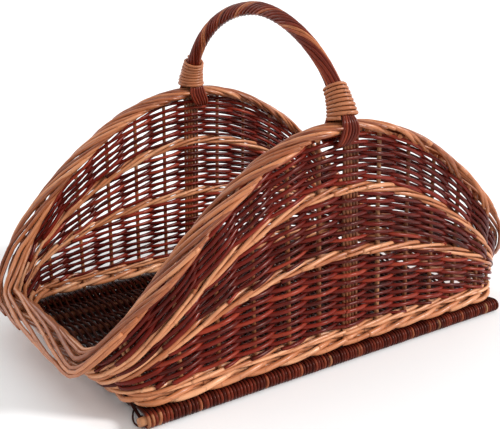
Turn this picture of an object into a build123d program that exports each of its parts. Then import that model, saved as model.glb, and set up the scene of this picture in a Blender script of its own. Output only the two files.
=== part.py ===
from build123d import *
import os
from math import asin, cos, degrees, pi, sin, sqrt, tan

# Wicker log basket: a long open basket with low flared ends, tall arched sides
# and one roped bow handle across the middle.
#
# Frame: millimetres, +Z up.  X runs along the length, Y across the width.
# The origin is on the floor, under the middle of the base.

os.makedirs("parts", exist_ok=True)

# ---------------------------------------------------------------- base
BASE_LENGTH = 540.0          # woven length of the base
BASE_WIDTH = 357.0           # between the centres of the two edge sticks
EDGE_STICK_DIAMETER = 10.0
EDGE_STICK_OVERHANG = 6.0    # bare stick past the last weaver, each end
INNER_STICK_DIAMETER = 8.0
INNER_STICK_COUNT = 5
BASE_WEAVER_DIAMETER = 4.2
BASE_END_INSET = 1.5         # the weave stops this far short of the lapping
BASE_CORNER_RADIUS = 32.0

# ---------------------------------------------------------------- rim
END_FLARE = 43.0             # the border stands this far outside the foot, each end
SIDE_LEAN = 3.0              # and this far inside it, at the shoulders
RIM_MIDDLE_HEIGHT = 283.0    # border centreline at the handle
RIM_END_HEIGHT = 57.0        # border centreline at the low ends
RIM_CORNER_LENGTH = 103.0    # how much of the length one rounded corner takes
RIM_CORNER_WIDTH = 70.0      # how much of the width it takes
SIDE_BOW = 6.4               # the long sides pull in this far at the handle
CORNER_FAN = 0.04            # share by which the corner stakes lean outwards

# ---------------------------------------------------------------- stakes
SIDE_BAYS = 12               # gaps between stakes along one long side
END_BAYS = 8                 # gaps between stakes across one end
STAKE_DIAMETER = 5.0
SIDE_DRIFT = 7.0             # the middle of each side is set this far to its right

# ---------------------------------------------------------------- woven bands
BOTTOM_WALE_HEIGHT = 24.0
BOTTOM_WALE_ROD = 5.7
WALE_HEIGHT = 12.6
WALE_ROD = 4.4
WEAVER_DIAMETER = 3.4
LOWER_WEAVE_HEIGHT = 85.7    # heights of the woven fields at the handle
MIDDLE_WEAVE_HEIGHT = 64.4
UPPER_WEAVE_HEIGHT = 59.2
LOWER_CORNER_SHARE = 0.18    # what is left of each height at the corner stakes
MIDDLE_CORNER_SHARE = 0.025
UPPER_CORNER_SHARE = 0.36
END_PATCH_HEIGHT = 1.3       # at the point of the small weave patches of the ends

# ---------------------------------------------------------------- border
BORDER_WIDTH = 36.0
BORDER_THICKNESS = 13.0

# ---------------------------------------------------------------- handle
HANDLE_RISE = 122.5          # from the border centreline to the top of the bow
HANDLE_DIAMETER = 20.5
HANDLE_LEAN = 2.0            # the top of the bow stands this far to the back
FRONT_FULLNESS = 1.16        # 1 is an ellipse, more is a flatter shoulder
BACK_FULLNESS = 1.0
BOW_ROD_DIAMETER = 4.4
BOW_ROD_COUNT = 3
LINER_DIAMETER = 4.4         # the short rods beside the bow rods, in the wall
BINDING_LENGTH = 33.0
BINDING_TOP_DIAMETER = 27.0
BINDING_FOOT_DIAMETER = 34.0
TAIL_ROD_DIAMETER = 4.2
TAIL_ROD_COUNT = 5
TAIL_SLACK = 2.4             # the bundles stand this far off the border

# ---------------------------------------------------------------- fits
CLEARANCE = 0.4              # between pieces that lie against each other
BORDER_SLOT_CLEARANCE = 1.8  # round the bow rods where they pass the border

# ---------------------------------------------------------------- derived
LAPPING_RADIUS = EDGE_STICK_DIAMETER / 2 + BASE_WEAVER_DIAMETER
BASE_TOP = 2 * LAPPING_RADIUS
FOOT_Z = BASE_TOP + CLEARANCE
FOOT_HALF_LENGTH = BASE_LENGTH / 2 - 2.0
FOOT_HALF_WIDTH = BASE_WIDTH / 2 - 3.5
RIM_HALF_LENGTH = FOOT_HALF_LENGTH + END_FLARE
RIM_HALF_WIDTH = FOOT_HALF_WIDTH - SIDE_LEAN
SHOULDER_X = RIM_HALF_LENGTH - RIM_CORNER_LENGTH
SHOULDER_Y = RIM_HALF_WIDTH - RIM_CORNER_WIDTH
WALL_CORE = max(STAKE_DIAMETER, BOW_ROD_DIAMETER + CLEARANCE)   # the thickest thing woven round
STAKE_GAP = WALL_CORE / 2 + CLEARANCE
CORNER_COSINE = cos(pi / 4)
CORNER_FOOT_X = FOOT_HALF_LENGTH - BASE_CORNER_RADIUS * (1 - CORNER_COSINE)
CORNER_FOOT_Y = FOOT_HALF_WIDTH - BASE_CORNER_RADIUS * (1 - CORNER_COSINE)
SIDE_STEP = BASE_LENGTH / SIDE_BAYS


# ---------------------------------------------------------------- the wall
# Every rod of the wall lies on a ruled surface: each stake is a straight line
# from the foot, on top of the base, to the border.  A station is one such line.

def rim_point(x, y):
    """The border centreline point at a plan position: its height follows x."""
    fall = (x / RIM_HALF_LENGTH) ** 2
    height = RIM_END_HEIGHT + (RIM_MIDDLE_HEIGHT - RIM_END_HEIGHT) * (1 - fall)
    return Vector(x, y, height)


def rim_y(x):
    """Half width of the rim outline at x."""
    if abs(x) <= SHOULDER_X:
        return RIM_HALF_WIDTH - SIDE_BOW * (1 - (x / SHOULDER_X) ** 2)
    share = min(1.0, (abs(x) - SHOULDER_X) / RIM_CORNER_LENGTH)
    return SHOULDER_Y + RIM_CORNER_WIDTH * sqrt(1 - share ** 2)


def rim_x(y):
    """Half length of the rim outline at y."""
    if abs(y) <= SHOULDER_Y:
        return RIM_HALF_LENGTH
    share = min(1.0, (abs(y) - SHOULDER_Y) / RIM_CORNER_WIDTH)
    return SHOULDER_X + RIM_CORNER_LENGTH * sqrt(1 - share ** 2)


def side_line(bay):
    """Foot and rim of the line at a stake bay of the front, from the middle."""
    last_straight = SIDE_BAYS / 2 - 1
    drift = SIDE_DRIFT * (1 - (2 * bay / SIDE_BAYS) ** 2)
    if abs(bay) <= last_straight:
        foot = Vector(SIDE_STEP * bay + drift, -FOOT_HALF_WIDTH, FOOT_Z)
    else:
        straight_end = FOOT_HALF_LENGTH - BASE_CORNER_RADIUS
        start = SIDE_STEP * last_straight
        run = straight_end - start + BASE_CORNER_RADIUS * pi / 4
        walked = (abs(bay) - last_straight) * run
        turn = max(0.0, walked - (straight_end - start)) / BASE_CORNER_RADIUS
        x = min(start + walked, straight_end) + BASE_CORNER_RADIUS * sin(turn)
        y = FOOT_HALF_WIDTH - BASE_CORNER_RADIUS * (1 - cos(turn))
        foot = Vector(x if bay > 0 else -x, -y, FOOT_Z)
    x = SIDE_STEP * bay * (1 + CORNER_FAN * (2 * bay / SIDE_BAYS) ** 2) + drift
    return foot, rim_point(x, -rim_y(x))


def end_line(bay):
    """Foot and rim of the line at a stake bay of the right end."""
    share = 2 * bay / END_BAYS
    foot_y = CORNER_FOOT_Y * share
    past = abs(foot_y) - (FOOT_HALF_WIDTH - BASE_CORNER_RADIUS)
    drop = 0.0
    if past > 0:
        drop = BASE_CORNER_RADIUS - sqrt(BASE_CORNER_RADIUS ** 2 - past ** 2)
    foot = Vector(FOOT_HALF_LENGTH - drop, foot_y, FOOT_Z)
    corner_rim = side_line(SIDE_BAYS / 2)[1]
    y = abs(corner_rim.Y) * share
    return foot, rim_point(rim_x(y), y)


def turned(line):
    """The same line, half a turn round the basket."""
    return tuple(Vector(-point.X, -point.Y, point.Z) for point in line)


def all_lines():
    """Every line once, anticlockwise from the front left corner."""
    half = [(side_line(i - SIDE_BAYS / 2), 0) for i in range(SIDE_BAYS + 1)]
    for i in range(1, END_BAYS):
        half.append((end_line(i - END_BAYS / 2), min(i, END_BAYS - i)))
    other_half = [(turned(line), bays_in) for line, bays_in in half]
    return half + other_half


class Station:
    """One line of the wall, with its own directions and band levels."""

    def __init__(self, line, before, after, bays_in):
        self.foot, self.rim = line
        self.bays_in = bays_in
        rise = self.rim - self.foot
        self.length = rise.length
        self.up = rise.normalized()
        along = (after[0] - before[0]) + (after[1] - before[1])
        self.out = along.cross(self.up).normalized()
        self.along = self.up.cross(self.out)
        rim_run = after[1] - before[1]
        self.slope = abs(rim_run.dot(self.up) / rim_run.dot(self.along))
        turn = (line[0] - before[0]).get_angle(after[0] - line[0])
        self.gap = STAKE_GAP + STAKE_DIAMETER / 2 * tan(turn * pi / 360)
        self.dip = max(0.0, -self.out.Z / self.up.Z)
        self.levels = self.band_levels()

    def field_height(self, height, corner_share, power):
        """Tall at the handle, low at the corners and nothing along the ends."""
        if self.bays_in == 1:
            return END_PATCH_HEIGHT
        if self.bays_in > 1:
            return 0.0
        reach = min(1.0, abs(self.rim.X) / CORNER_RIM_X)
        return height * (corner_share + (1 - corner_share) * (1 - reach ** 2) ** power)

    def band_levels(self):
        """Distances up the line at which one band ends and the next starts."""
        heights = [
            BOTTOM_WALE_HEIGHT,
            self.field_height(LOWER_WEAVE_HEIGHT, LOWER_CORNER_SHARE, 1.0),
            WALE_HEIGHT,
            self.field_height(MIDDLE_WEAVE_HEIGHT, MIDDLE_CORNER_SHARE, 1.3),
            WALE_HEIGHT,
            self.field_height(UPPER_WEAVE_HEIGHT, UPPER_CORNER_SHARE, 0.8),
        ]
        room = self.length - BORDER_THICKNESS / 2 - CLEARANCE
        scale = room / sum(heights)
        levels = [0.0]
        for height in heights:
            levels.append(levels[-1] + height * scale)
        return levels

    def point(self, up, out, along=0.0):
        return self.foot + self.up * up + self.out * out + self.along * along


def all_stations():
    lines = all_lines()
    stations = []
    for i, (line, bays_in) in enumerate(lines):
        before = lines[i - 1][0]
        after = lines[(i + 1) % len(lines)][0]
        stations.append(Station(line, before, after, bays_in))
    return stations


CORNER_RIM_X = side_line(SIDE_BAYS / 2)[1].X
STATIONS = all_stations()
WALL_STARTS = {
    "front": (0, SIDE_BAYS),
    "right": (SIDE_BAYS, END_BAYS),
    "back": (SIDE_BAYS + END_BAYS, SIDE_BAYS),
    "left": (2 * SIDE_BAYS + END_BAYS, END_BAYS),
}


def wall_stations(wall):
    start, count = WALL_STARTS[wall]
    return [STATIONS[(start + i) % len(STATIONS)] for i in range(count + 1)]


# ---------------------------------------------------------------- bands
def ribbon(stations, lower, upper, inner, outer):
    """A solid strip along the wall, between two heights and two depths."""
    faces = []
    last = len(stations) - 1
    for index, station in enumerate(stations):
        nudge = 0.0
        if index == 0:
            nudge = CLEARANCE / 2
        if index == last:
            nudge = -CLEARANCE / 2
        low, high = lower(station), upper(station)
        deep, proud = inner(station), outer(station)
        corners = [(low, deep), (low, proud), (high, proud), (high, deep)]
        points = [station.point(up, out, nudge) for up, out in corners]
        faces.append(Face(Wire.make_polygon(points, close=True)))
    return loft(faces, ruled=True)


def level(number, offset=0.0):
    return lambda station: station.levels[number] + offset


def off_stakes(side, thickness=0.0):
    """A depth just clear of the stakes, outside (1) or inside (-1) of them."""
    return lambda station: side * (station.gap + thickness)


def two_skins(stations, number, rod):
    """Rods outside the stakes and rods inside them, in one band of the wall."""
    lower, upper = level(number), level(number + 1, -CLEARANCE)

    def clear_of_base(station):
        return max(lower(station), station.dip * (station.gap + rod))

    outer = ribbon(stations, clear_of_base, upper, off_stakes(1), off_stakes(1, rod))
    inner = ribbon(stations, lower, upper, off_stakes(-1, rod), off_stakes(-1))
    return Compound(children=[outer, inner])


def woven_field(wall, number):
    """A field of thin weavers; an end has only a small patch at each corner."""
    stations = wall_stations(wall)
    if wall in ("front", "back"):
        return two_skins(stations, number, WEAVER_DIAMETER)
    first = two_skins(stations[:2], number, WEAVER_DIAMETER)
    last = two_skins(stations[-2:], number, WEAVER_DIAMETER)
    return Compound(children=first.children + last.children)


def bow_slot():
    """The passage for the bow rods through the border, front and back."""
    width = bow_rows()[-1] - bow_rows()[0] + BOW_ROD_DIAMETER + 2 * BORDER_SLOT_CLEARANCE
    depth = BOW_ROD_DIAMETER + 2 * BORDER_SLOT_CLEARANCE
    passage = Box(width, depth, 4 * BORDER_THICKNESS)
    front = HANDLE_TURN * Pos(0, -RIM_Y, RIM_MIDDLE_HEIGHT) * passage
    back = HANDLE_TURN * Pos(0, RIM_Y, RIM_MIDDLE_HEIGHT) * passage
    return front, back


def border(wall):
    """The flat plaited border, seen as one strip square to the wall."""
    half = BORDER_THICKNESS / 2
    strip = ribbon(
        wall_stations(wall),
        lambda station: station.length - half,
        lambda station: station.length + half,
        lambda station: -BORDER_WIDTH / 2,
        lambda station: BORDER_WIDTH / 2,
    )
    if wall in ("left", "right"):
        return strip
    front, back = bow_slot()
    return strip - (front if wall == "front" else back)


# ---------------------------------------------------------------- stakes
def stake(station):
    """A straight willow rod from the base to the underside of the border."""
    radius = STAKE_DIAMETER / 2
    start = radius
    length = station.levels[-1] - CLEARANCE - radius * station.slope - start
    rod = Cylinder(radius, length, align=(Align.CENTER, Align.CENTER, Align.MIN))
    return Plane(origin=station.point(start, 0), z_dir=station.up) * rod


def wall_stakes(wall):
    """The stakes between the corners; the handle takes the middle place of a side."""
    stations = wall_stations(wall)[1:-1]
    if wall in ("front", "back"):
        middle = len(stations) // 2
        stations = stations[:middle] + stations[middle + 1:]
    return Compound(children=[stake(station) for station in stations])


def corner_stakes():
    return Compound(children=[stake(STATIONS[start]) for start, count in WALL_STARTS.values()])


# ---------------------------------------------------------------- base
def rod_along_x(diameter, length, y):
    return Pos(0, y, LAPPING_RADIUS) * Rot(0, 90, 0) * Cylinder(diameter / 2, length)


def edge_stick(side):
    length = BASE_LENGTH + 2 * EDGE_STICK_OVERHANG
    return rod_along_x(EDGE_STICK_DIAMETER, length, side * BASE_WIDTH / 2)


def edge_lapping(side):
    """The weavers turning round one edge stick, close together."""
    y = side * BASE_WIDTH / 2
    outer = rod_along_x(2 * LAPPING_RADIUS, BASE_LENGTH, y)
    return outer - rod_along_x(EDGE_STICK_DIAMETER + 2 * CLEARANCE, BASE_LENGTH + 2, y)


def inner_stick_rows():
    spacing = BASE_WIDTH / (INNER_STICK_COUNT + 1)
    return [spacing * (i + 1) - BASE_WIDTH / 2 for i in range(INNER_STICK_COUNT)]


def inner_sticks():
    length = BASE_LENGTH - 2 * BASE_END_INSET - 2
    rods = [rod_along_x(INNER_STICK_DIAMETER, length, y) for y in inner_stick_rows()]
    return Compound(children=rods)


def base_weave():
    """The close weave of the base, with a passage for each inner stick."""
    length = BASE_LENGTH - 2 * BASE_END_INSET
    width = BASE_WIDTH - 2 * (LAPPING_RADIUS + CLEARANCE)
    plan = RectangleRounded(length, width, BASE_CORNER_RADIUS - BASE_END_INSET)
    slab = extrude(plan, BASE_TOP)
    for y in inner_stick_rows():
        slab -= rod_along_x(INNER_STICK_DIAMETER + 2 * CLEARANCE, BASE_LENGTH, y)
    return slab


# ---------------------------------------------------------------- handle
RIM_Y = rim_y(0)
HANDLE_TURN = Rot(0, 0, degrees(asin(SIDE_DRIFT / RIM_Y)))   # its feet follow the drift
ARCH_STEPS = 9


def arch_points():
    """The bow's centreline over the border, front to back, in the YZ plane."""
    points = []
    for step in range(1, 2 * ARCH_STEPS):
        angle = pi * step / (2 * ARCH_STEPS)
        front = angle < pi / 2
        fullness = FRONT_FULLNESS if front else BACK_FULLNESS
        reach = RIM_Y + HANDLE_LEAN if front else RIM_Y - HANDLE_LEAN
        across = reach * abs(cos(angle)) ** fullness
        y = HANDLE_LEAN - across if front else HANDLE_LEAN + across
        points.append((y, RIM_MIDDLE_HEIGHT + HANDLE_RISE * sin(angle) ** fullness))
    return points


def smooth_path(points, x=0.0):
    """Straight runs joined by the largest tangent arcs that fit."""
    corners = [Vector(x, y, z) for y, z in points]
    radii = []
    for before, here, after in zip(corners, corners[1:], corners[2:]):
        into, away = here - before, after - here
        half_turn = into.get_angle(away) * pi / 360
        radii.append(0.45 * min(into.length, away.length) / tan(half_turn))
    return FilletPolyline(*corners, radius=radii)


def swept(section, path):
    start = Plane(origin=path @ 0, x_dir=(1, 0, 0), z_dir=path % 0)
    return sweep(start * section, path=path)


def bow_points():
    foot = (-FOOT_HALF_WIDTH, FOOT_Z)
    far_foot = (FOOT_HALF_WIDTH, FOOT_Z)
    shoulder = (-RIM_Y, RIM_MIDDLE_HEIGHT)
    far_shoulder = (RIM_Y, RIM_MIDDLE_HEIGHT)
    return [foot, shoulder] + arch_points() + [far_shoulder, far_foot]


def bow_rows():
    pitch = BOW_ROD_DIAMETER + CLEARANCE / 2
    return [pitch * (i - (BOW_ROD_COUNT - 1) / 2) for i in range(BOW_ROD_COUNT)]


def bow_rods():
    """Long rods that run up one side, over as the handle, and down the other."""
    rods = []
    for x in bow_rows():
        rods.append(swept(Circle(BOW_ROD_DIAMETER / 2), smooth_path(bow_points(), x)))
    return Compound(children=rods)


def liners(side):
    """The short rods that keep the place of the bow, from the base to the border."""
    middle = STATIONS[WALL_STARTS["front" if side < 0 else "back"][0] + SIDE_BAYS // 2]
    length = middle.levels[-1] - CLEARANCE - LINER_DIAMETER / 2
    reach = bow_rows()[-1] + (BOW_ROD_DIAMETER + LINER_DIAMETER) / 2 + CLEARANCE
    align = (Align.CENTER, Align.CENTER, Align.MIN)
    rods = []
    for x in (-reach, reach):
        rod = Cylinder(LINER_DIAMETER / 2, length, align=align)
        rods.append(Plane(origin=middle.point(0, 0, x), z_dir=middle.up) * rod)
    return Compound(children=rods)


def between(start, end, height):
    """The point of a straight run at a height."""
    share = (height - start[1]) / (end[1] - start[1])
    return (start[0] + share * (end[0] - start[0]), height)


BORDER_TOP = RIM_MIDDLE_HEIGHT + BORDER_THICKNESS / 2 + 3 * CLEARANCE


def roping_start(shoulder, arch_end):
    """Where the roping can begin, square to the bow, without meeting the border."""
    run = Vector(0, arch_end[0] - shoulder[0], arch_end[1] - shoulder[1])
    dip = HANDLE_DIAMETER / 2 * abs(run.Y) / run.length
    return between(shoulder, arch_end, BORDER_TOP + dip)


def roping_path():
    arch = arch_points()
    start = roping_start((-RIM_Y, RIM_MIDDLE_HEIGHT), arch[0])
    end = roping_start((RIM_Y, RIM_MIDDLE_HEIGHT), arch[-1])
    return smooth_path([start] + arch + [end])


def roping():
    """The twisted rods round the bow, with the passage that the bow rods fill."""
    path = roping_path()
    width = bow_rows()[-1] - bow_rows()[0] + BOW_ROD_DIAMETER + 2 * CLEARANCE
    passage = RectangleRounded(width, BOW_ROD_DIAMETER + 2 * CLEARANCE, BOW_ROD_DIAMETER / 2)
    return swept(Circle(HANDLE_DIAMETER / 2), path) - swept(passage, path)


def binding(side):
    """The close turns of thin rod that hold the roping down, wider at the foot."""
    path = roping_path()
    first = TAIL_ROD_DIAMETER + TAIL_SLACK
    tilt = abs((path % (first / path.length if side < 0 else 1 - first / path.length)).Y)
    first += tilt * BINDING_FOOT_DIAMETER / 2 + CLEARANCE
    sections = []
    for share in (0.0, 0.5, 1.0):
        walked = (first + share * BINDING_LENGTH) / path.length
        place = walked if side < 0 else 1 - walked
        diameter = BINDING_FOOT_DIAMETER + share * (BINDING_TOP_DIAMETER - BINDING_FOOT_DIAMETER)
        plane = Plane(origin=path @ place, x_dir=(1, 0, 0), z_dir=path % place)
        sections.append(plane * Circle(diameter / 2))
    return loft(sections, ruled=True) - swept(Circle(HANDLE_DIAMETER / 2 + CLEARANCE), path)


def tails(side, way):
    """A flat bundle of rod ends laid over one edge of the border and tucked under."""
    lift = TAIL_ROD_DIAMETER / 2 + TAIL_SLACK
    top = RIM_MIDDLE_HEIGHT + BORDER_THICKNESS / 2 + lift
    bottom = RIM_MIDDLE_HEIGHT - BORDER_THICKNESS / 2 - lift
    edge = BORDER_WIDTH / 2 + lift
    start = HANDLE_DIAMETER / 2 + TAIL_SLACK + 2 * CLEARANCE
    tuck = STAKE_GAP + WEAVER_DIAMETER + 4.0
    middle = side * RIM_Y
    route = [(start, top), (edge, top), (edge, bottom), (tuck, bottom)]
    points = [Vector(0, middle + side * way * out, height) for out, height in route]
    path = FilletPolyline(*points, radius=TAIL_ROD_DIAMETER)
    width = TAIL_ROD_COUNT * TAIL_ROD_DIAMETER
    return swept(Rectangle(width, TAIL_ROD_DIAMETER), path)


# ---------------------------------------------------------------- assembly
def basket():
    pieces = {"base_inner_sticks": inner_sticks(), "base_weave": base_weave()}
    for name, side in (("front", -1), ("back", 1)):
        pieces["base_edge_stick_" + name] = edge_stick(side)
        pieces["base_edge_lapping_" + name] = edge_lapping(side)
        pieces["side_stakes_" + name] = wall_stakes(name)
        pieces["lower_weave_" + name] = woven_field(name, 1)
        pieces["middle_weave_" + name] = woven_field(name, 3)
        pieces["upper_weave_" + name] = woven_field(name, 5)
        pieces["handle_liners_" + name] = liners(side)
        pieces["handle_binding_" + name] = binding(side)
        pieces["handle_tails_outer_" + name] = tails(side, 1)
        pieces["handle_tails_inner_" + name] = tails(side, -1)
    for name in ("left", "right"):
        pieces["end_stakes_" + name] = wall_stakes(name)
        pieces["lower_weave_" + name] = woven_field(name, 1)
        pieces["upper_weave_" + name] = woven_field(name, 5)
    for name in WALL_STARTS:
        stations = wall_stations(name)
        pieces["bottom_wale_" + name] = two_skins(stations, 0, BOTTOM_WALE_ROD)
        pieces["lower_wale_" + name] = two_skins(stations, 2, WALE_ROD)
        pieces["upper_wale_" + name] = two_skins(stations, 4, WALE_ROD)
        pieces["border_" + name] = border(name)
    pieces["corner_stakes"] = corner_stakes()
    pieces["handle_bow_rods"] = bow_rods()
    pieces["handle_roping"] = roping()
    for name in pieces:
        if name.startswith("handle") and "liners" not in name:
            pieces[name] = HANDLE_TURN * pieces[name]
    return pieces


for node, shape in basket().items():
    export_step(shape, "parts/" + node + ".step")
    print(node, round(shape.volume))
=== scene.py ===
# %% [markdown]
# # A willow log basket
# The basket is long and open, with low ends that flare out, tall arched sides and one roped
# handle over the middle.  Everything in it is a willow rod: rods that stand up (stakes), rods
# that go in and out of them (weavers), rods that twist round them (wales), a plaited border and
# a bow wound with rods.  So the whole lesson is about one thing, how to place a long thin rod
# well, and then about giving it the colour and gloss of willow.
#
# The frame below is the working model.  It fixes where each band of the basket lies, and the
# rods are then woven around those places.

import bpy
import bmesh
import math
import numpy as np
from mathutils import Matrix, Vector


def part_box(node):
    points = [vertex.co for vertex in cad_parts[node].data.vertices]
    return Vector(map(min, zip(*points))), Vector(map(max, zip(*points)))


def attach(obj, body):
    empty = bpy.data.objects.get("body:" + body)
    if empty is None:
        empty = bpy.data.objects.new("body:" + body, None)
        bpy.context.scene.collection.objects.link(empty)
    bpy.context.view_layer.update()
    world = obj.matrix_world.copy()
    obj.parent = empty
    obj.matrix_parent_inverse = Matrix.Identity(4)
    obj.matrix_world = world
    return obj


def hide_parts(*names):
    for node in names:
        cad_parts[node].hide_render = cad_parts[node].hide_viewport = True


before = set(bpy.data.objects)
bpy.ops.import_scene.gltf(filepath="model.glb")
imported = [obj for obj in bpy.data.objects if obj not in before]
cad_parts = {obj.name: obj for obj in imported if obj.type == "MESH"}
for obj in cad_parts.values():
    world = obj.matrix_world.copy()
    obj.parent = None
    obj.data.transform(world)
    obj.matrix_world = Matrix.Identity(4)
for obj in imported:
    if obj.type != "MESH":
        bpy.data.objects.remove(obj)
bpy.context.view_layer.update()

# %% [markdown]
# ## Sizes
# Lengths are in metres.  The base and its edge sticks are read from the frame, so they can't
# disagree with it.  The foot of the wall, the border and the thickness of each kind of rod are
# chosen values, each written here once.

# %% Read the base and the edge sticks from the frame
base_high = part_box("base_weave")[1]
stick_low, stick_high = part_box("base_edge_stick_front")

EDGE_STICK_Y = -(stick_low.y + stick_high.y) / 2
EDGE_STICK_Z = (stick_low.z + stick_high.z) / 2
BASE_TOP = base_high.z
BASE_HALF_LENGTH = base_high.x
STICK_HALF_LENGTH = stick_high.x
print("edge sticks at y", round(EDGE_STICK_Y, 4), "and z", round(EDGE_STICK_Z, 4))

# %% Choose the rods
STAKE = 0.0026               # radii of the rods, by job
SIDE_WEAVER = 0.0024
BASE_WEAVER = 0.0021
WALE_ROD = 0.0023
THICK_WALE_ROD = 0.0032
BORDER_ROD = 0.0025
ROPING_ROD = 0.0019
BINDING_ROD = 0.0021
EDGE_STICK = 0.0049
INNER_STICK = 0.0040

SIDE_BAYS = 12               # gaps between the stakes of a side, and of an end
END_BAYS = 8
ALL_BAYS = 2 * (SIDE_BAYS + END_BAYS)

# %% Choose the outline of the wall
FOOT_Z = BASE_TOP + 0.0004   # the foot of the wall, just on the base
FOOT_X = 0.268
FOOT_Y = EDGE_STICK_Y - 0.0035
FOOT_CORNER = 0.032

RIM_X = FOOT_X + 0.043       # the middle line of the border, at the low ends
RIM_Y = FOOT_Y - 0.003       # and at the shoulders of the sides
RIM_END_Z = 0.057
RIM_MIDDLE_Z = 0.283
RIM_CORNER_X = 0.103         # how much of the length and the width a rounded corner takes
RIM_CORNER_Y = 0.070
BORDER_THICKNESS = 0.013
BORDER_WIDTH = 0.036

WEAVE_INSET = 0.0015         # the close weave stops this far short of the ends of the base
SIDE_STEP = (BASE_HALF_LENGTH + WEAVE_INSET) * 2 / SIDE_BAYS
SIDE_BOW = 0.0064            # the rim of a side comes in by this much at the handle
SIDE_DRIFT = 0.007           # the middle of a side is set this far to its right
CORNER_FAN = 0.04            # the lines of a side lean towards the corners by this share
BAY_LENGTH = 0.045           # about the distance from stake to stake
print("a wall", round(2 * RIM_X, 3), "m long and", round(2 * RIM_Y, 3), "m wide at the rim")

# %% [markdown]
# ## The wall as a surface
# A basket maker sees the wall as a row of stakes, and every other rod is placed from them: so far
# round, so far up, so far in or out.  The same three numbers work here.  `bay` counts the gaps
# between stakes all the way round, starting at the front left corner, and each bay has a foot on
# the base and a point on the border.  A straight line joins the two.
#
# The alternative is to model a smooth wall and wrap curves on it.  The three numbers are better,
# because a weaver that goes in front of one stake and behind the next is then a plain formula.

# %% Foot and rim of one line of the wall
def rim_half_width(x):
    """How far from the middle the border runs along a side, at that place of its length."""
    shoulder = RIM_X - RIM_CORNER_X
    if abs(x) <= shoulder:
        return RIM_Y - SIDE_BOW * (1 - (x / shoulder) ** 2)
    share = min(1.0, (abs(x) - shoulder) / RIM_CORNER_X)
    return RIM_Y - RIM_CORNER_Y + RIM_CORNER_Y * math.sqrt(1 - share ** 2)


def rim_half_length(y):
    """How far from the middle the border runs along an end, at that place of its width."""
    shoulder = RIM_Y - RIM_CORNER_Y
    if abs(y) <= shoulder:
        return RIM_X
    share = min(1.0, (abs(y) - shoulder) / RIM_CORNER_Y)
    return RIM_X - RIM_CORNER_X + RIM_CORNER_X * math.sqrt(1 - share ** 2)


def rim_point(x, y):
    """A point of the border, which is high at the handle and low at the ends."""
    height = RIM_END_Z + (RIM_MIDDLE_Z - RIM_END_Z) * (1 - (x / RIM_X) ** 2)
    return (x, y, height)


def side_line(bay):
    """A line of the front side, with bay 0 in the middle."""
    half = SIDE_BAYS / 2
    drift = SIDE_DRIFT * (1 - (bay / half) ** 2)
    last = half - 1
    x = SIDE_STEP * abs(bay) + math.copysign(1, bay) * drift
    y = FOOT_Y
    if abs(bay) > last:
        straight = FOOT_X - FOOT_CORNER
        start = SIDE_STEP * last + math.copysign(1, bay) * SIDE_DRIFT * (1 - (last / half) ** 2)
        walked = (abs(bay) - last) * (straight - start + FOOT_CORNER * math.pi / 4)
        turn = max(0.0, walked - (straight - start)) / FOOT_CORNER
        x = min(start + walked, straight) + FOOT_CORNER * math.sin(turn)
        y = FOOT_Y - FOOT_CORNER * (1 - math.cos(turn))
    foot = (math.copysign(x, bay) if bay else drift, -y, FOOT_Z)
    rim_x = SIDE_STEP * bay * (1 + CORNER_FAN * (bay / half) ** 2) + drift
    return foot, rim_point(rim_x, -rim_half_width(rim_x))


def end_line(bay):
    """A line of the right end, with bay 0 in the middle."""
    share = 2 * bay / END_BAYS
    foot_y = (FOOT_Y - FOOT_CORNER * (1 - math.cos(math.pi / 4))) * share
    past = max(0.0, abs(foot_y) - (FOOT_Y - FOOT_CORNER))
    drop = FOOT_CORNER - math.sqrt(FOOT_CORNER ** 2 - past ** 2)
    rim_y = -side_line(SIDE_BAYS / 2)[1][1] * share
    return (FOOT_X - drop, foot_y, FOOT_Z), rim_point(rim_half_length(rim_y), rim_y)


# %% Every line of the wall, as a table to look points up in
LINES_PER_BAY = 24


def line_at(index):
    """Foot and rim of a line; the second half of the wall is the first half turned round."""
    bay = index / LINES_PER_BAY
    half = ALL_BAYS / 2
    second_half = bay >= half
    bay -= half if second_half else 0
    if bay <= SIDE_BAYS:
        foot, rim = side_line(bay - SIDE_BAYS / 2)
    else:
        foot, rim = end_line(bay - SIDE_BAYS - END_BAYS / 2)
    sign = -1 if second_half else 1
    return [(sign * p[0], sign * p[1], p[2]) for p in (foot, rim)]


wall_lines = np.array([line_at(i) for i in range(ALL_BAYS * LINES_PER_BAY)])
wall_foot, wall_rim = wall_lines[:, 0], wall_lines[:, 1]
wall_rise = wall_rim - wall_foot
wall_length = np.linalg.norm(wall_rise, axis=1)
wall_up = wall_rise / wall_length[:, None]
middles = wall_foot + wall_rim
along = np.roll(middles, -1, axis=0) - np.roll(middles, 1, axis=0)
wall_out = np.cross(along, wall_up)
wall_out /= np.linalg.norm(wall_out, axis=1)[:, None]


def look_up(table, bays):
    """A value of the wall at any bay, between the lines of the table."""
    place = np.asarray(bays, float) * LINES_PER_BAY
    low = np.floor(place).astype(int)
    share = place - low
    if table.ndim > 1:
        share = share[..., None]
    return table[low % len(table)] * (1 - share) + table[(low + 1) % len(table)] * share


def on_wall(bays, up, out):
    """Points so far round the wall, so far up its lines and so far out of it."""
    up = np.broadcast_to(up, bays.shape)
    out = np.broadcast_to(out, bays.shape)
    return (look_up(wall_foot, bays) + look_up(wall_up, bays) * up[:, None]
            + look_up(wall_out, bays) * out[:, None])


print("wall of", ALL_BAYS, "bays, lines", round(wall_length.min(), 3), "to",
      round(wall_length.max(), 3), "m long")

# %% [markdown]
# ## The levels of the wall
# From the base up there is a thick wale, a field of dark weavers, a pale wale, another field,
# another pale wale and a last field under the border.  The fields are tall at the handle and low
# at the corners, which is what makes the pale wales arch.

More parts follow.
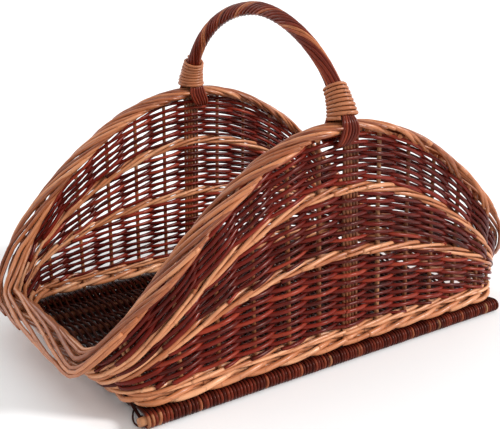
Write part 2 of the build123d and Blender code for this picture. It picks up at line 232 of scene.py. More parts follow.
# %% Heights of the bands, up the line of the wall
BOTTOM_WALE = 0.024
PALE_WALE = 0.0126
FIELDS = {                   # height at the handle, share of it at the corners, power of the curve
    "lower": (0.0857, 0.18, 1.0),
    "middle": (0.0644, 0.025, 1.3),
    "upper": (0.0592, 0.36, 0.8),
}
BAND_ORDER = ("bottom_wale", "lower", "lower_wale", "middle", "upper_wale", "upper")


def field_height(name):
    """Tall at the handle, low at the corners, and nothing one bay past the corners."""
    height, corner_share, power = FIELDS[name]
    bays = np.arange(ALL_BAYS * LINES_PER_BAY) / LINES_PER_BAY % (ALL_BAYS / 2)
    corner_x = side_line(SIDE_BAYS / 2)[1][0]
    reach = np.clip(np.abs(wall_rim[:, 0]) / corner_x, 0, 1)
    side = corner_share + (1 - corner_share) * (1 - reach ** 2) ** power
    past = np.minimum(bays - SIDE_BAYS, ALL_BAYS / 2 - bays)
    end = corner_share * np.clip(1 - past, 0, 1)
    return height * np.where(bays <= SIDE_BAYS, side, end)


band_heights = {name: field_height(name) for name in FIELDS}
band_heights["bottom_wale"] = np.full(len(wall_length), BOTTOM_WALE)
band_heights["lower_wale"] = np.full(len(wall_length), PALE_WALE)
band_heights["upper_wale"] = np.full(len(wall_length), PALE_WALE)
room = wall_length - BORDER_THICKNESS / 2
scale = room / sum(band_heights.values())
band_low, band_high = {}, {}
reached = np.zeros(len(wall_length))
for name in BAND_ORDER:
    band_low[name] = reached.copy()
    reached = reached + band_heights[name] * scale
    band_high[name] = reached.copy()
band_middle = {name: (band_low[name] + band_high[name]) / 2 for name in BAND_ORDER}
print({name: round(float(band_high[name].max()), 4) for name in BAND_ORDER})

# %% [markdown]
# ## A rod
# A rod is a tube that follows a list of points, thicker at the butt than at the tip.  Blender's
# curves with a bevel do this too, but each rod here must also carry two things for its colour:
# its own place (so far round it and so far along it, in metres) and its own tint.  So the tube is
# built ring by ring, and those numbers are stored on its points.
#
# A `Bundle` gathers many rods into one object, because one object of sixty weavers is much easier
# to handle than sixty objects.

# %% The dice, thrown from one seed so that the basket is the same each time
dice = np.random.default_rng(7)


def wander(distance, step):
    """A smooth random line between about -1 and 1, that changes over a length of step."""
    total = np.zeros(len(distance))
    for share in (1.0, 0.55, 0.3):
        wave = step * share * dice.uniform(0.8, 1.3)
        total += share * np.sin(distance / wave * 2 * math.pi + dice.uniform(0, 2 * math.pi))
    return total / 1.6


# %% Lines through points
def distance_along(points):
    """How far along the line each of its points lies."""
    return np.concatenate([[0], np.cumsum(np.linalg.norm(np.diff(points, axis=0), axis=1))])


def even_steps(points, count):
    """The same line with its points the same distance apart."""
    walked = distance_along(points)
    places = np.linspace(0, walked[-1], count)
    return np.stack([np.interp(places, walked, points[:, i]) for i in range(3)], axis=1)


def smooth(points, count):
    """A smooth line through a few points, by Catmull and Rom's rule."""
    points = np.asarray(points, float)
    padded = np.concatenate([2 * points[:1] - points[1:2], points, 2 * points[-1:] - points[-2:-1]])
    pieces = []
    for a, b, c, d in zip(padded, padded[1:], padded[2:], padded[3:]):
        t = np.linspace(0, 1, 9)[:-1, None]
        pieces.append(0.5 * (2 * b + (c - a) * t + (2 * a - 5 * b + 4 * c - d) * t ** 2
                             + (3 * b - a - 3 * c + d) * t ** 3))
    return even_steps(np.concatenate(pieces + [points[-1:]]), count)


# %% One tube of rings
def tube(points, radius, facing, sides):
    """The corners of a ring round each point, how far along it lies, and the corners' angles."""
    points = np.asarray(points, float)
    step = np.gradient(points, axis=0)
    step /= np.linalg.norm(step, axis=1)[:, None] + 1e-12
    facing = np.broadcast_to(facing, points.shape)
    side = np.cross(step, facing)
    side /= np.linalg.norm(side, axis=1)[:, None] + 1e-12
    front = np.cross(side, step)
    angle = np.linspace(0, 2 * math.pi, sides, endpoint=False)
    ring = (side[:, None] * np.cos(angle)[None, :, None]
            + front[:, None] * np.sin(angle)[None, :, None])
    corners = points[:, None] + ring * np.broadcast_to(radius, len(points))[:, None, None]
    return corners, distance_along(points), angle


class Bundle:
    """Many rods that make one piece of the basket."""

    def __init__(self, name, sides=8):
        self.name = name
        self.sides = sides
        self.points = []
        self.faces = []
        self.place = []
        self.tint = []
        self.count = 0
        self.rods = 0

    def rod(self, points, radius, facing, tint=None, taper=0.0, knots=0.05):
        """Adds a rod; taper is the share of its radius lost from first point to last."""
        rings = len(points)
        corners, walked, angle = tube(points, 1.0, facing, self.sides)
        centre = corners.mean(axis=1, keepdims=True)
        share = walked / max(walked[-1], 1e-9)
        bumps = 1 + knots * wander(walked, 0.028)
        radii = np.broadcast_to(radius, rings) * (1 + taper * (0.5 - share)) * bumps
        corners = centre + (corners - centre) * radii[:, None, None]
        tint = dice.uniform() if tint is None else tint
        shift = dice.uniform(0, 40)
        place = np.zeros((rings, self.sides, 3))
        place[..., 0] = np.cos(angle) * radii[:, None]
        place[..., 1] = np.sin(angle) * radii[:, None]
        place[..., 2] = walked[:, None] + shift
        ring_of = np.arange(rings - 1)[:, None] * self.sides
        corner_of = np.arange(self.sides)[None, :]
        after = (corner_of + 1) % self.sides
        quads = np.stack([ring_of + corner_of, ring_of + after,
                          ring_of + self.sides + after, ring_of + self.sides + corner_of], axis=-1)
        self.faces.extend((quads.reshape(-1, 4) + self.count).tolist())
        last = (rings - 1) * self.sides
        self.faces.append([self.count + i for i in reversed(range(self.sides))])
        self.faces.append([self.count + last + i for i in range(self.sides)])
        self.points.append(corners.reshape(-1, 3))
        self.place.append(place.reshape(-1, 3))
        self.tint.append(np.repeat(np.broadcast_to(tint, rings), self.sides))
        self.count += rings * self.sides
        self.rods += 1

    def make(self, finish, slot, *nodes):
        """Makes the object, which stands for those nodes of the frame."""
        mesh = bpy.data.meshes.new(self.name)
        points = np.concatenate(self.points)
        mesh.from_pydata(points.tolist(), [], self.faces)
        place = mesh.attributes.new("rod_place", "FLOAT_VECTOR", "POINT")
        place.data.foreach_set("vector", np.concatenate(self.place).astype(np.float32).ravel())
        tint = mesh.attributes.new("rod_tint", "FLOAT", "POINT")
        tint.data.foreach_set("value", np.concatenate(self.tint).astype(np.float32))
        mesh.shade_smooth()
        for face in mesh.polygons:
            if len(face.vertices) > 4:
                face.use_smooth = False
        mesh.materials.append(finish)
        piece = bpy.data.objects.new(self.name, mesh)
        bpy.context.scene.collection.objects.link(piece)
        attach(piece, "root")
        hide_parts(*nodes)
        print(self.name, self.rods, "rods,", len(mesh.polygons), "faces")


# %% [markdown]
# ## Willow, as a material
# Buff willow is boiled and then peeled, which leaves an orange tan with paler and pinker streaks.
# Dark willow is steamed in its bark, red brown to almost black, with a soft gloss.  Brown willow
# stands between them.  The base, the roping and the bindings each have a mix of their own, so
# there are six materials.  They differ in colour and gloss, and not in how they're made, so one
# function makes them all.
#
# Shader maths reads badly as a list of nodes and links.  The `Wire` class below wraps a socket,
# so that an expression such as `streaks * 0.6 + mottle` adds its own Math nodes.

# %% A socket that can be calculated with
class Wire:
    """A socket of a shader, on which sums and other nodes can be built."""

    def __init__(self, tree, socket):
        self.tree = tree
        self.socket = socket

    def node(self, kind, settings=(), output=0, **inputs):
        """Any node: its settings are made first, then its sockets are filled or linked."""
        node = self.tree.nodes.new(kind)
        for name, value in dict(settings).items():
            if name == "stops":
                fill_ramp(node.color_ramp, value)
            else:
                setattr(node, name, value)
        for name, value in inputs.items():
            number = name.startswith("socket_")
            key = int(name.removeprefix("socket_")) if number else name.replace("_", " ")
            socket = node.inputs[key]
            if isinstance(value, Wire):
                self.tree.links.new(value.socket, socket)
            else:
                socket.default_value = value
        return Wire(self.tree, node.outputs[output])

    def math(self, operation, other, flip=False):
        """A Math node; flip puts this socket second."""
        first, second = (other, self) if flip else (self, other)
        return self.node("ShaderNodeMath", {"operation": operation}, socket_0=first, socket_1=second)

    def __add__(self, other):
        return self.math("ADD", other)

    def __radd__(self, other):
        return self.math("ADD", other)

    def __sub__(self, other):
        return self.math("SUBTRACT", other)

    def __rsub__(self, other):
        return self.math("SUBTRACT", other, flip=True)

    def __mul__(self, other):
        return self.math("MULTIPLY", other)

    def __rmul__(self, other):
        return self.math("MULTIPLY", other)

    def between(self, low, high):
        """0 below low, 1 above high, smooth between."""
        return self.node("ShaderNodeMapRange", {"interpolation_type": "SMOOTHSTEP"},
                         Value=self, From_Min=low, From_Max=high)

    def blend(self, first, second):
        """The first colour where this is 0 and the second where it's 1."""
        return self.node("ShaderNodeMix", {"data_type": "RGBA"}, output=2,
                         socket_0=self, socket_6=first, socket_7=second)

    def tinted(self, other):
        """This colour multiplied by another."""
        return self.node("ShaderNodeMix", {"data_type": "RGBA", "blend_type": "MULTIPLY"},
                         output=2, socket_0=1.0, socket_6=self, socket_7=other)

    def stretched(self, across, along):
        """The rod's own place, scaled so that a texture is fine across it and long along it."""
        return self.node("ShaderNodeVectorMath", {"operation": "MULTIPLY"},
                         socket_0=self, socket_1=(across, across, along))

    def noise(self, detail=2.0, roughness=0.5):
        """A noise texture, read at this place."""
        return self.node("ShaderNodeTexNoise", Vector=self, Scale=1.0, Detail=detail,
                         Roughness=roughness)


def fill_ramp(ramp, stops):
    """Gives a new colour ramp its stops, each a position and a colour."""
    while len(ramp.elements) < len(stops):
        ramp.elements.new(0.5)
    for element, (position, colour) in zip(ramp.elements, stops):
        element.position = position
        element.color = (*colour, 1.0)


# %% [markdown]
# ### How a rod is coloured
# Four things vary over real willow.  Each rod has its own shade, because each came off another
# plant: that's the rod's tint through a colour ramp.  Fine streaks run along the grain.  Blotches
# a few centimetres long come from the bark or from the boiling.  And every few centimetres there
# is the scar of a bud, a small dark ring.  The streaks also drive the bump and the roughness, so
# the gloss breaks up along the grain as it does on a real rod.

# %% Willow of any kind
def willow(name, shades, streak_colour, blotch_colour, gloss, streak_amount=0.5, scar_amount=0.5,
           sheen_colour=(1.0, 0.93, 0.88, 1.0), specular=0.25, coat=0.12):
    """One material; shades is the ramp that a rod's tint picks from."""
    material = bpy.data.materials.new(name)
    material.use_nodes = True
    tree = material.node_tree
    surface = tree.nodes["Principled BSDF"]
    start = Wire(tree, None)
    place = start.node("ShaderNodeAttribute", {"attribute_name": "rod_place"}, output=1)
    tint = start.node("ShaderNodeAttribute", {"attribute_name": "rod_tint"}, output=2)

    streaks = place.stretched(1300, 55).noise(detail=3.0, roughness=0.6)
    fine = place.stretched(2600, 260).noise(detail=2.0)
    blotches = place.stretched(160, 26).noise(detail=2.0)
    along = place.node("ShaderNodeSeparateXYZ", output=2, Vector=place)
    scars = (along * 210 + blotches * 9).math("SINE", 0.0).between(0.965, 1.0)

    shade = tint.node("ShaderNodeValToRGB", {"stops": shades}, Fac=tint + (blotches - 0.5) * 0.5)
    colour = (streaks.between(0.45, 0.75) * streak_amount).blend(shade, streak_colour)
    colour = (blotches.between(0.52, 0.72) * 0.55).blend(colour, blotch_colour)
    dark_grain = 1 - fine.between(0.5, 0.8) * 0.22
    grey = dark_grain.node("ShaderNodeCombineColor", socket_0=dark_grain, socket_1=dark_grain,
                           socket_2=dark_grain)
    colour = colour.tinted(grey)
    scar_colour = tuple(c * 0.35 for c in blotch_colour[:3]) + (1.0,)
    colour = (scars * scar_amount).blend(colour, scar_colour)
    roughness = gloss + (streaks - 0.5) * 0.28 + scars * 0.15

    height = streaks * 0.6 + fine * 0.4 - scars * 0.8
    bump = height.node("ShaderNodeBump", Height=height, Strength=0.45, Distance=0.0004)
    for socket, wire in (("Base Color", colour), ("Roughness", roughness), ("Normal", bump)):
        tree.links.new(wire.socket, surface.inputs[socket])
    surface.inputs["Specular IOR Level"].default_value = specular
    surface.inputs["Specular Tint"].default_value = sheen_colour
    surface.inputs["Coat Weight"].default_value = coat
    surface.inputs["Coat Roughness"].default_value = 0.16
    return material


# %% Mix the kinds of willow that this basket uses
buff = willow(
    "buff_willow",
    [(0.0, (0.17, 0.032, 0.008)), (0.3, (0.32, 0.086, 0.026)), (0.6, (0.48, 0.163, 0.062)),
     (1.0, (0.70, 0.335, 0.170))],
    (0.66, 0.32, 0.17, 1.0), (0.27, 0.060, 0.016, 1.0), gloss=0.34, scar_amount=0.3,
    specular=0.35, coat=0.15)
dark = willow(
    "dark_willow",
    [(0.0, (0.028, 0.0012, 0.0007)), (0.4, (0.088, 0.0040, 0.0020)), (0.75, (0.165, 0.0115, 0.0055)),
     (1.0, (0.30, 0.040, 0.018))],
    (0.22, 0.030, 0.016, 1.0), (0.028, 0.0015, 0.0010, 1.0), gloss=0.27, scar_amount=0.25,
    sheen_colour=(1.0, 0.62, 0.52, 1.0), specular=0.16, coat=0.10)
base_dark = willow(
    "base_willow",
    [(0.0, (0.013, 0.0015, 0.0008)), (0.45, (0.054, 0.0055, 0.003)), (0.8, (0.13, 0.017, 0.008)),
     (0.93, (0.24, 0.060, 0.026)), (1.0, (0.48, 0.23, 0.11))],
    (0.17, 0.034, 0.018, 1.0), (0.018, 0.003, 0.002, 1.0), gloss=0.30, scar_amount=0.2,
    sheen_colour=(1.0, 0.66, 0.52, 1.0), specular=0.10, coat=0.04)
brown = willow(
    "stake_willow",
    [(0.0, (0.095, 0.020, 0.008)), (0.5, (0.28, 0.090, 0.034)), (1.0, (0.49, 0.22, 0.10))],
    (0.52, 0.25, 0.13, 1.0), (0.13, 0.03, 0.012, 1.0), gloss=0.38, scar_amount=0.3,
    specular=0.2, coat=0.08)
handle_dark = willow(
    "handle_willow",
    [(0.0, (0.045, 0.0035, 0.0018)), (0.5, (0.125, 0.012, 0.005)), (0.85, (0.24, 0.036, 0.014)),
     (1.0, (0.52, 0.18, 0.075))],
    (0.22, 0.046, 0.022, 1.0), (0.038, 0.005, 0.003, 1.0), gloss=0.30, scar_amount=0.25,
    sheen_colour=(1.0, 0.70, 0.58, 1.0), specular=0.16, coat=0.12)
binding_buff = willow(
    "binding_willow",
    [(0.0, (0.24, 0.055, 0.018)), (0.5, (0.38, 0.125, 0.05)), (1.0, (0.52, 0.23, 0.11))],
    (0.62, 0.31, 0.17, 1.0), (0.24, 0.055, 0.02, 1.0), gloss=0.36)
print(len(bpy.data.materials), "materials")

# %% [markdown]
# ## The base
# The base is woven first, flat on the bench.  Seven sticks lie along it and thin dark weavers
# cross them, over one and under the next.  At each long edge the weaver goes right round the
# outer stick and back, and those turns lie so close together that the edge looks like a spring.
#
# One weaver is one line of points: a short return inside, half a turn round the edge stick, the
# weave across, half a turn round the other stick and a short return.

# %% The sticks of the base
INNER_STICKS = 5
STICK_RINGS = 60
SPACING = EDGE_STICK_Y * 2 / (INNER_STICKS + 1)
for side, name in ((-1, "front"), (1, "back")):
    sticks = Bundle("base_edge_stick_" + name, sides=16)
    x = np.linspace(-STICK_HALF_LENGTH, BASE_HALF_LENGTH - 0.001, STICK_RINGS) * -side
    line = np.stack([x, np.full(STICK_RINGS, side * EDGE_STICK_Y),
                     np.full(STICK_RINGS, EDGE_STICK_Z)], axis=1)
    sticks.rod(line, EDGE_STICK, (0, 0, 1), tint=0.9, knots=0.02)
    sticks.make(brown, "stake_willow", "base_edge_stick_" + name)

inner_sticks = Bundle("base_inner_sticks", sides=12)
for number in range(INNER_STICKS):
    row = number - INNER_STICKS // 2
    x = np.linspace(-BASE_HALF_LENGTH, BASE_HALF_LENGTH, STICK_RINGS) + dice.uniform(-0.002, 0.002)
    line = np.stack([x, np.full(STICK_RINGS, row * SPACING),
                     np.full(STICK_RINGS, EDGE_STICK_Z)], axis=1)
    inner_sticks.rod(line, INNER_STICK, (0, 0, 1), tint=0.05, knots=0.02)
inner_sticks.make(brown, "stake_willow", "base_inner_sticks")


# %% The weavers of the base, with their turns round the edge sticks
BASE_PITCH = 0.00432
LIFT = INNER_STICK + BASE_WEAVER
TURN_RADIUS = EDGE_STICK + BASE_WEAVER


def base_weaver(x, over):
    """Points of one weaver; over is 1 where it starts above the front edge stick, or -1."""
    turn = np.linspace(0, math.pi, 11)
    inside = np.linspace(0.02, 0.0, 5)[:-1]
    front_y = -EDGE_STICK_Y - TURN_RADIUS * np.sin(turn)
    front_z = -over * TURN_RADIUS * np.cos(turn)
    across = np.linspace(-EDGE_STICK_Y, EDGE_STICK_Y, 63)[1:-1]
    wave = over * np.cos(math.pi * (across + EDGE_STICK_Y) / SPACING)
    near_edge = np.clip((np.abs(across) - EDGE_STICK_Y + SPACING / 2) / (SPACING / 2), 0, 1)
    wave_z = wave * (LIFT + (TURN_RADIUS - LIFT) * near_edge)
    back_z = over * TURN_RADIUS * np.cos(turn)
    y = np.concatenate([-EDGE_STICK_Y + inside, front_y, across, -front_y[::-1],
                        EDGE_STICK_Y - inside[::-1]])
    z = np.concatenate([np.full(4, front_z[0]), front_z, wave_z, back_z, np.full(4, back_z[-1])])
    distance = np.linspace(0, 0.4, len(y))
    sway = 0.0005 * wander(distance, 0.09) + np.linspace(-0.4, 0.4, len(y)) * BASE_PITCH
    return np.stack([x + sway, y, z + EDGE_STICK_Z], axis=1)


base_rows = int(round(2 * (BASE_HALF_LENGTH - 0.001) / BASE_PITCH))
weave = Bundle("base_weave", sides=8)
for row in range(base_rows):
    x = (row + 0.5 - base_rows / 2) * BASE_PITCH
    pale = abs((x / BAY_LENGTH + 0.1) % 1 - 0.5) < 0.048 and dice.uniform() < 0.7
    tint = dice.uniform(0.9, 0.97) if pale or row < 2 else dice.uniform(0.25, 0.85)
    thick = BASE_WEAVER * dice.uniform(0.86, 1.04)
    line = base_weaver(x, 1 if row % 2 else -1)
    # Painted shade: away from the edge sticks, each weaver's own random tint is cut to 0.12 of
    # itself, so the inside of the base is painted dark as if in the basket's shadow. The lapping
    # round the edge sticks keeps its full tint.
    outside_painted_shade = np.clip((np.abs(line[:, 1]) - EDGE_STICK_Y + 0.004) / 0.008, 0, 1)
    weave.rod(line, thick, (1, 0, 0), tint=tint * (0.12 + 0.88 * outside_painted_shade), knots=0.03)

# The thin tip of one weaver has come loose at the left end.
loose_end = smooth([(-0.262, -0.145, 0.012), (-0.271, -0.155, 0.007), (-0.2748, -0.164, 0.003),
                    (-0.2735, -0.172, 0.0016), (-0.268, -0.1775, 0.0025)], 30)
weave.rod(loose_end, 0.0010, (0, 0.01, 1), tint=0.05)
weave.make(base_dark, "base_willow", "base_weave", "base_edge_lapping_front",
           "base_edge_lapping_back")

# %% [markdown]
# ## The stakes
# Stakes are straight brown rods from the base to the border.  They show only as short stubs
# between the weavers, but they're what the weavers bend round, so they come next.  The middle
# place of each side has none: the bow of the handle stands there, with a liner rod on each side.

# %% Straight rods up the wall
STAKE_GAP = 0.004            # a stake ends this far under the middle line of the border
STAKE_RINGS = 24


def upright(bundle, bay, radius, shift=0.0, tint=None):
    """Adds a rod that stands in the wall; shift moves it along the wall."""
    foot = on_wall(np.array([bay]), 0.0, 0.0)[0]
    high = float(look_up(wall_length, bay)) - STAKE_GAP
    end = on_wall(np.array([bay]), high, 0.0)[0]
    sideways = np.cross(look_up(wall_up, bay), look_up(wall_out, bay)) * shift
    share = np.linspace(0, 1, STAKE_RINGS)[:, None]
    line = foot + sideways + (end - foot) * share
    lean = 0.0006 * wander(np.linspace(0, high, STAKE_RINGS), 0.2)
    line = line + look_up(wall_out, bay) * lean[:, None]
    bundle.rod(line, radius, look_up(wall_out, bay), tint=tint, taper=0.12, knots=0.03)


WALL_START = {"front": 0, "right": SIDE_BAYS, "back": SIDE_BAYS + END_BAYS,
              "left": 2 * SIDE_BAYS + END_BAYS}
for name in ("front", "back"):
    stakes = Bundle("side_stakes_" + name)
    for bay in range(1, SIDE_BAYS):
        if bay != SIDE_BAYS // 2:
            upright(stakes, WALL_START[name] + bay, STAKE * dice.uniform(0.92, 1.08),
                    shift=dice.uniform(-0.0015, 0.0015), tint=dice.uniform(0.3, 0.95))
    stakes.make(brown, "stake_willow", "side_stakes_" + name)
for name in ("left", "right"):
    stakes = Bundle("end_stakes_" + name)
    for bay in range(1, END_BAYS):
        upright(stakes, WALL_START[name] + bay, STAKE, tint=dice.uniform(0.3, 0.9))
    stakes.make(brown, "stake_willow", "end_stakes_" + name)
corners = Bundle("corner_stakes")
for start in WALL_START.values():
    for shift in (-0.0026, 0.0026):
        upright(corners, start, STAKE * 0.95, shift=shift, tint=dice.uniform(0.5, 1.0))
corners.make(brown, "stake_willow", "corner_stakes")

# %% [markdown]
# ## The wales
# In a wale a few rods take turns: each goes in front of some stakes and behind the next, and
# rises as it goes.  Seen as a whole, the rods twist round the row of stakes like a rope that was
# pulled flat.  So each rod is a long helix along the wall, and one full turn takes as many bays
# as the wale has rods.  Then every rod does at each stake what its neighbour did one stake before.
#
# The bottom wale is two such ropes, a thick one on the base and a thinner one on top of it.

# %% One wale rope along part of the wall
WALE_STEPS = 14              # points per bay
WALE_STAGGER = 0.22          # each rod starts this share of a bay before the one next to it
WALE_OVERLAP = 0.5           # bays that every rod runs on
WALE_ROD_BAYS = 5            # a new rod is laid in after so many bays
SHORTEST_ROD = 20            # points


def wale_rods(bundle, first, last, centre, half_height, rod, tints, strands=4):
    """Rods twisted round the stakes; centre is a table of heights up the wall."""
    reach = STAKE + rod + 0.0004
    for strand in range(strands):
        stagger = WALE_STAGGER * strand
        bays = np.arange(first - stagger, last - stagger + WALE_OVERLAP, 1 / WALE_STEPS)
        length = bays * BAY_LENGTH
        turn = 2 * math.pi * (bays + strand + 0.5) / strands
        height = look_up(centre, bays) + (half_height - rod) * np.sin(turn)
        height = height + 0.0006 * wander(length, 0.11)
        swing = np.sign(np.cos(turn)) * np.abs(np.cos(turn)) ** 0.7
        line = on_wall(bays, height, reach * swing + 0.0004 * wander(length, 0.08))
        cuts = np.arange(0, len(bays), WALE_STEPS * WALE_ROD_BAYS) + int(dice.integers(0, 30))
        inner_cuts = [int(c) for c in cuts if SHORTEST_ROD < c < len(bays) - SHORTEST_ROD]
        starts = [0] + inner_cuts + [len(bays) - 1]
        for begin, end in zip(starts, starts[1:]):
            stop = min(end + 3, len(bays) - 1)
            tint = dice.uniform(*tints)
            thick = rod * dice.uniform(0.92, 1.06)
            bundle.rod(line[begin:stop + 1], thick, look_up(wall_out, bays[begin:stop + 1]),
                       tint=tint, taper=0.22, knots=0.04)


THICK_SHARE = 0.58           # how much of the bottom wale's height the thick rope takes
for name, start in WALL_START.items():
    count = SIDE_BAYS if name in ("front", "back") else END_BAYS
    for band in ("lower_wale", "upper_wale"):
        rope = Bundle(band + "_" + name, sides=10)
        wale_rods(rope, start, start + count, band_middle[band], PALE_WALE / 2, WALE_ROD,
                  (0.3, 0.95))
        rope.make(buff, "buff_willow", band + "_" + name)
    rope = Bundle("bottom_wale_" + name, sides=12)
    low = band_low["bottom_wale"] + (0.0010 if name == "back" else 0.0)
    tall = band_high["bottom_wale"] - low
    wale_rods(rope, start, start + count, low + tall * THICK_SHARE / 2,
              BOTTOM_WALE * THICK_SHARE / 2, THICK_WALE_ROD, (0.5, 1.0), strands=3)
    wale_rods(rope, start, start + count, low + tall * (1 + THICK_SHARE) / 2,
              BOTTOM_WALE * (1 - THICK_SHARE) / 2, WALE_ROD * 0.9, (0.45, 1.0))
    rope.make(buff, "buff_willow", "bottom_wale_" + name)

# %% [markdown]
# ## The woven fields
# Between the wales, single dark rods go in front of one stake and behind the next, and the row
# above does the opposite.  A cosine of the bay number gives exactly that.  The rows lie nearly a
# fixed distance apart, counted from the middle of the field, so a row near the edge of a field is
# short and dives under the wale, and the rows in the middle reach the corners.

# %% Rows of weavers in one field
ROW_PITCH = 0.0047
ROW_STEPS = 12               # points per bay
ROW_DIVE = 0.0015            # how far a row may run under a wale
SHORTEST_ROW = 14            # points


def field_rows(bundle, name, first, last):
    """Adds the rows of a field, from one bay to another."""
    bays = np.arange(first, last + 1e-9, 1 / ROW_STEPS)
    low, high = look_up(band_low[name], bays), look_up(band_high[name], bays)
    middle = (low + high) / 2
    tallest = float((high - low).max())
    rows = int(tallest / ROW_PITCH) + 1
    pitch = tallest / rows
    for row in range(rows):
        offset = (row - (rows - 1) / 2) * pitch
        squeeze = 0.86 + 0.14 * (high - low) / tallest
        height = middle + offset * squeeze
        inside = (height > low - ROW_DIVE) & (height < high + ROW_DIVE)
        if inside.sum() < SHORTEST_ROW:
            continue
        begin, end = np.flatnonzero(inside)[[0, -1]]
        here = bays[begin:end + 1]
        length = here * BAY_LENGTH
        wave = np.cos(math.pi * (here + row))
        out = (STAKE + SIDE_WEAVER + 0.0002) * np.sign(wave) * np.abs(wave) ** 0.8
        lift = height[begin:end + 1] + 0.0007 * wander(length, 0.17)
        thick = SIDE_WEAVER * dice.uniform(0.88, 1.1)
        flip = dice.uniform() < 0.5
        tint = dice.uniform(0.08, 0.95)
        line = on_wall(here, lift, out + 0.0003 * wander(length, 0.06))
        facing = look_up(wall_out, here)
        if flip:
            line, facing = line[::-1], facing[::-1]
        bundle.rod(line, thick, facing, tint=tint, taper=0.24, knots=0.05)


END_REACH = 1.1              # bays that a field goes on past the corner, under the wales
for name, end_name in (("front", "left"), ("back", "right")):
    for field in FIELDS:
        rods = Bundle(field + "_weave_" + name)
        start = WALL_START[name]
        field_rows(rods, field, start - END_REACH, start + SIDE_BAYS + END_REACH)
        nodes = [field + "_weave_" + name]
        if field != "middle":
            nodes.append(field + "_weave_" + end_name)
        rods.make(dark, "dark_willow", *nodes)

# %% [markdown]
# ## The border
# The stakes are long.  Once the wall is high enough they're bent down one after another and laid
# along the rim, and each crosses the ones before it.  On the top of the border every rod runs
# from the inner edge to the outer edge, where it's cut off, and below it comes back.  So a rod of
# the border is a flattened helix, and its butt is hidden under the others.
#
# A rod goes round three and a half times along a side and only half a time along an end, so the
# rods cross at a small angle and the border looks long and lean.  They lie in pairs, with a gap
# between one pair and the next.

# %% Directions along the rim
rim_run = np.roll(wall_rim, -1, axis=0) - np.roll(wall_rim, 1, axis=0)
rim_run /= np.linalg.norm(rim_run, axis=1)[:, None]
rim_normal = np.cross(wall_out, rim_run)
rim_normal /= np.linalg.norm(rim_normal, axis=1)[:, None]
rim_out = np.cross(rim_run, rim_normal)

# %% The rods of the border, each one whole, in the piece where its middle lies
SIDE_TURN = SIDE_BAYS / 3.5  # bays in one way round, on a side and on an end
END_TURN = END_BAYS / 0.5
BORDER_RODS = 10
BORDER_SWING = BORDER_WIDTH / 2 - BORDER_ROD
BORDER_LIFT = 0.0046
BUTT, CUT = 0.70, 0.515      # shares of a turn, where a rod starts and where it's cut
HANDLE_BAYS = (SIDE_BAYS / 2, SIDE_BAYS * 1.5 + END_BAYS)


def from_handle(bays):
    """How many bays away the nearer foot of the handle is."""
    half = ALL_BAYS / 2
    return np.min([np.abs((bays - foot + half) % ALL_BAYS - half) for foot in HANDLE_BAYS], axis=0)


def piece_at(bay):
    """The side or end of the basket that has that bay."""
    starts = sorted(WALL_START.items(), key=lambda item: item[1])
    return [name for name, start in starts if start <= bay % ALL_BAYS][-1]


def turns_at(bays):
    """How many times a rod of the border has gone round at those bays."""
    beside = np.abs((bays % (ALL_BAYS / 2)) - SIDE_BAYS / 2) < SIDE_BAYS / 2
    return np.cumsum(np.where(beside, 1 / SIDE_TURN, 1 / END_TURN)) * (bays[1] - bays[0])


BORDER_STEPS = 4000          # twice round the border
border_bays = np.linspace(0, 2 * ALL_BAYS, BORDER_STEPS + 1)
border_turns = turns_at(border_bays)
BORDER_TURNS = int(round(border_turns[BORDER_STEPS // 2]))
print("a rod that went all round would turn", BORDER_TURNS, "times")


def border_rod(start_turn, end_turn, phase):
    """The points of one rod, with the bays that they lie at."""
    turns = np.arange(start_turn, end_turn, 1 / 60)
    bays = np.interp(turns + (BORDER_TURNS if start_turn < 0 else 0), border_turns, border_bays)
    length = bays * 0.05
    angle = 2 * math.pi * (turns + phase)
    pinch = 1 - 0.24 * np.exp(-(from_handle(bays) / 0.6) ** 2)
    swing = BORDER_SWING * dice.uniform(0.9, 1.03)
    out = -swing * np.cos(angle) * pinch + 0.0010 * wander(length, 0.19)
    lift = BORDER_LIFT * dice.uniform(0.85, 1.1) * np.sin(angle) + 0.0005 * wander(length, 0.15)
    loose = np.clip(np.arange(len(bays)) - len(bays) + 9, 0, 9) / 9
    out, lift = out + 0.0012 * loose ** 2, lift + 0.0008 * loose
    return bays, (look_up(wall_rim, bays) + look_up(rim_out, bays) * out[:, None]
                  + look_up(rim_normal, bays) * lift[:, None])


borders = {name: Bundle("border_" + name, sides=10) for name in WALL_START}
for strand in range(BORDER_RODS):
    phase = strand / BORDER_RODS + (-0.010 if strand % 2 else 0.010) + dice.uniform(-0.012, 0.012)
    for number in range(strand // 2 % 2, BORDER_TURNS, 2):
        bays, line = border_rod(number + BUTT - phase, number + 2 + CUT - phase, phase)
        borders[piece_at(bays[len(bays) // 2])].rod(
            line, BORDER_ROD * dice.uniform(0.88, 1.14), look_up(rim_normal, bays),
            tint=dice.uniform(0.0, 0.8), taper=0.25, knots=0.05)
for name, braid in borders.items():
    braid.make(buff, "buff_willow", "border_" + name)

# %% [markdown]
# ## The handle
# The bow is a few long rods that stand in the wall at one side, arch over and go down the other
# side.  Twelve rods, most of them dark, are twisted round it, which is called roping.  Near its
# feet the roping runs nearly straight, a thin rod is wound round it as a binding, and the ends of
# the roping fan out over the border, inside and outside, and are tucked away under it.
#
# The arch is two quarters of a flattened ellipse, because the bow leans a little to the back.

# %% The line of the bow
BOW_RISE = 0.1215
BOW_LEAN = 0.002
FRONT_FULLNESS = 1.16
BACK_FULLNESS = 1.0
BOW_Y = rim_half_width(0.0)
BOW_SHIFT = -0.0055
BOW_TURN = 0.009


